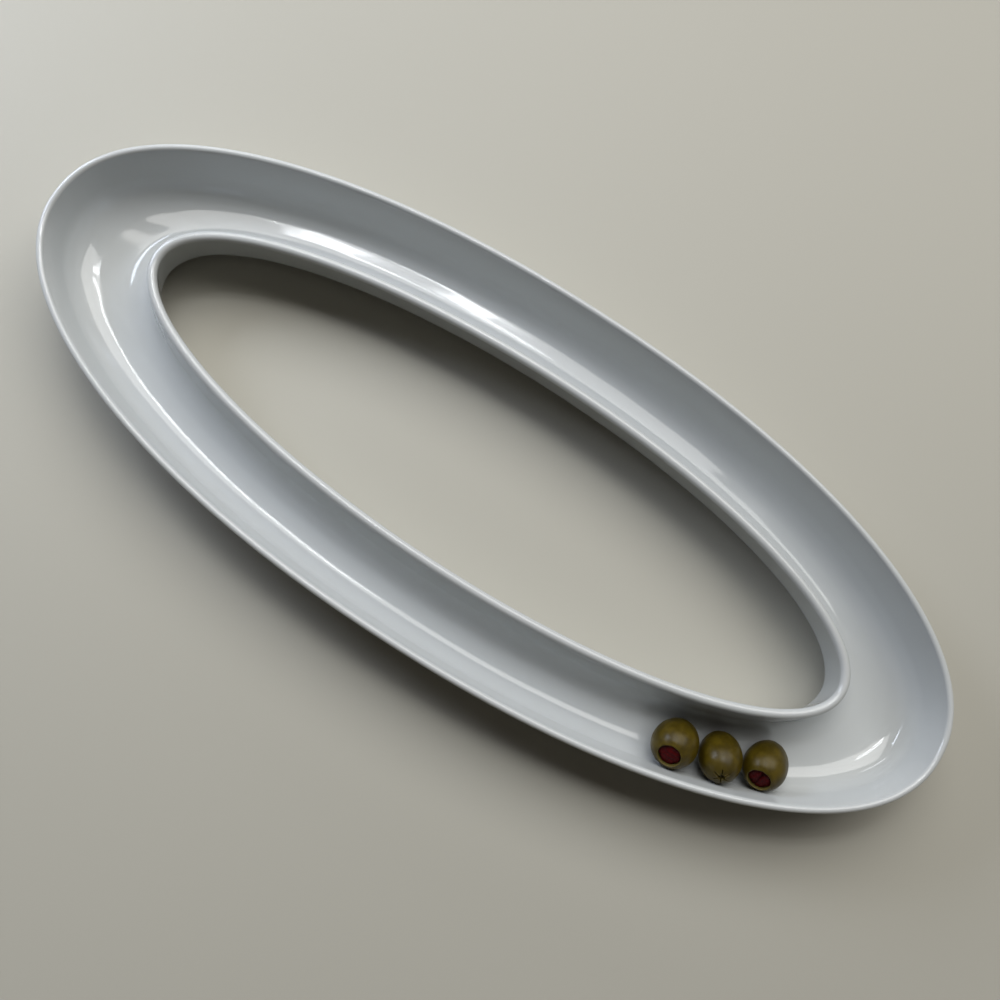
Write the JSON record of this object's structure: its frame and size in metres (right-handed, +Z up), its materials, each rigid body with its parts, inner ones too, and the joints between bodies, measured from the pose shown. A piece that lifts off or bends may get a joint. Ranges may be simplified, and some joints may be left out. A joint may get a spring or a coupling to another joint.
{
  "type": "olive dish",
  "caption": "Long oval ring-shaped porcelain dish with a deep trough round an open middle, holding stuffed olives in its trough.",
  "frame": {"origin": "middle of the footprint, on the surface that the dish stands on", "axes": "+X along the dish's longer axis, towards the end that the olives lie near; +Y across it, away from the olives; +Z up"},
  "size_m": [0.4, 0.153, 0.03],
  "materials": {
    "porcelain": "glossy white glaze",
    "olive_flesh": "smooth, moist, satin",
    "pimento": "moist, satin"
  },
  "bodies": {
    "dish": {"dish": "porcelain"},
    "left_olive": {"olive_left": "olive_flesh", "pimento_left": "pimento"},
    "middle_olive": {"olive_middle": "olive_flesh", "pimento_middle": "pimento"},
    "right_olive": {"olive_right": "olive_flesh", "pimento_right": "pimento"}
  },
  "joints": [
    {"name": "lift_left_olive", "type": "slide", "parent": "dish", "child": "left_olive", "axis": [0, 0, 1], "range_m": [0, 0.05]},
    {"name": "lift_middle_olive", "type": "slide", "parent": "dish", "child": "middle_olive", "axis": [0, 0, 1], "range_m": [0, 0.05]},
    {"name": "lift_right_olive", "type": "slide", "parent": "dish", "child": "right_olive", "axis": [0, 0, 1], "range_m": [0, 0.05]}
  ]
}
